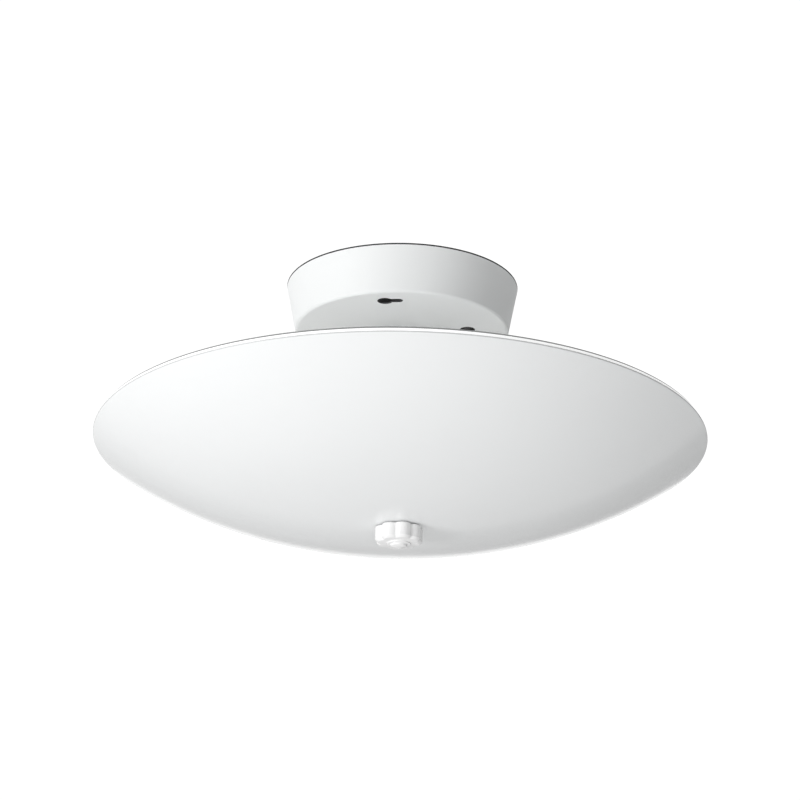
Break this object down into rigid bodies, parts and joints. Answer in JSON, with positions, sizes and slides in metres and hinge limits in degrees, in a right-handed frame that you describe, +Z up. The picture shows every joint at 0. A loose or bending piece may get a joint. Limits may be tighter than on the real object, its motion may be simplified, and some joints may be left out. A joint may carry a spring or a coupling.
{
  "type": "semi-flush ceiling light",
  "caption": "Semi-flush ceiling light: shallow white glass dish held by a lobed knob on a threaded rod under a tapered white steel canopy, with opposed lamps inside.",
  "frame": {"origin": "centre of the ceiling plane, which is the plane of the canopy's top edge", "axes": "+Z up into the ceiling, X along the two lamps, -Y to the front; the light hangs to -Z"},
  "size_m": [0.3174, 0.3174, 0.1435],
  "materials": {
    "canopy_paint": "gloss white enamel on pressed steel",
    "pad_fibre": "dark glass-fibre felt",
    "zinc_steel": "bright zinc plate",
    "rivet_aluminium": "bare aluminium",
    "bushing_nylon": "natural nylon",
    "green_zinc": "green grounding screw",
    "porcelain": "white glazed porcelain",
    "shell_brass": "bare brass",
    "connector_plastic": "orange twist-on connector",
    "lead_black": "black lead insulation",
    "lead_white": "white lead insulation",
    "opal_glass": "opaque white opal glass, fire polished",
    "gasket_rubber": "black rubber",
    "knob_white": "gloss white",
    "solder": "solder",
    "lamp_insulator": "black vitrite",
    "lamp_cap": "plain aluminium screw cap",
    "lamp_glass": "inside-frosted bulb"
  },
  "bodies": {
    "root": {"canopy": "canopy_paint", "insulation_pad": "pad_fibre", "socket_bracket": "zinc_steel", "bracket_rivets": "rivet_aluminium", "threaded_rod": "zinc_steel", "lock_washer": "zinc_steel", "rod_nut_upper": "zinc_steel", "rod_nut_lower": "zinc_steel", "wire_bushing": "bushing_nylon", "ground_screw": "green_zinc", "lampholder_left": "porcelain", "lampholder_right": "porcelain", "screw_shell_left": "shell_brass", "screw_shell_right": "shell_brass", "center_contact_left": "shell_brass", "center_contact_right": "shell_brass", "holder_screws": "zinc_steel", "wire_connectors": "connector_plastic", "lead_black_left": "lead_black", "lead_white_left": "lead_white", "lead_black_right": "lead_black", "lead_white_right": "lead_white", "stop_washer": "zinc_steel", "stop_nut": "zinc_steel"},
    "shade": {"glass_dish": "opal_glass", "gasket_upper": "gasket_rubber"},
    "knob": {"knob": "knob_white", "knob_insert": "shell_brass", "knob_washer": "gasket_rubber"},
    "lamp_left_carriage": {"lamp_left_tip": "solder"},
    "lamp_left": {"lamp_left_insulator": "lamp_insulator", "lamp_left_base": "lamp_cap", "lamp_left_bulb": "lamp_glass"},
    "lamp_right_carriage": {"lamp_right_tip": "solder"},
    "lamp_right": {"lamp_right_insulator": "lamp_insulator", "lamp_right_base": "lamp_cap", "lamp_right_bulb": "lamp_glass"}
  },
  "joints": [
    {"name": "shade_travel", "type": "slide", "parent": "root", "child": "shade", "axis": [0, 0, -1], "range_m": [0, 0.00476]},
    {"name": "knob_spin", "type": "hinge", "parent": "shade", "child": "knob", "pos_m": [0, 0, -0.138], "axis": [0, 0, -1], "range_deg": [0, 2160.5]},
    {"name": "lamp_left_travel", "type": "slide", "parent": "root", "child": "lamp_left_carriage", "axis": [-1, 0, 0], "range_m": [0, 0.0217]},
    {"name": "lamp_left_spin", "type": "hinge", "parent": "lamp_left_carriage", "child": "lamp_left", "pos_m": [0, 0, -0.076], "axis": [-1, 0, 0], "range_deg": [0, 2153.5]},
    {"name": "lamp_right_travel", "type": "slide", "parent": "root", "child": "lamp_right_carriage", "axis": [1, 0, 0], "range_m": [0, 0.0217]},
    {"name": "lamp_right_spin", "type": "hinge", "parent": "lamp_right_carriage", "child": "lamp_right", "pos_m": [0, 0, -0.076], "axis": [1, 0, 0], "range_deg": [0, 2153.5]}
  ],
  "couplings": [
    {"joint": "knob_spin", "follows": "shade_travel", "rad_per_m": 7915.8},
    {"joint": "lamp_left_spin", "follows": "lamp_left_travel", "rad_per_m": 1731.6},
    {"joint": "lamp_right_spin", "follows": "lamp_right_travel", "rad_per_m": 1731.6}
  ]
}
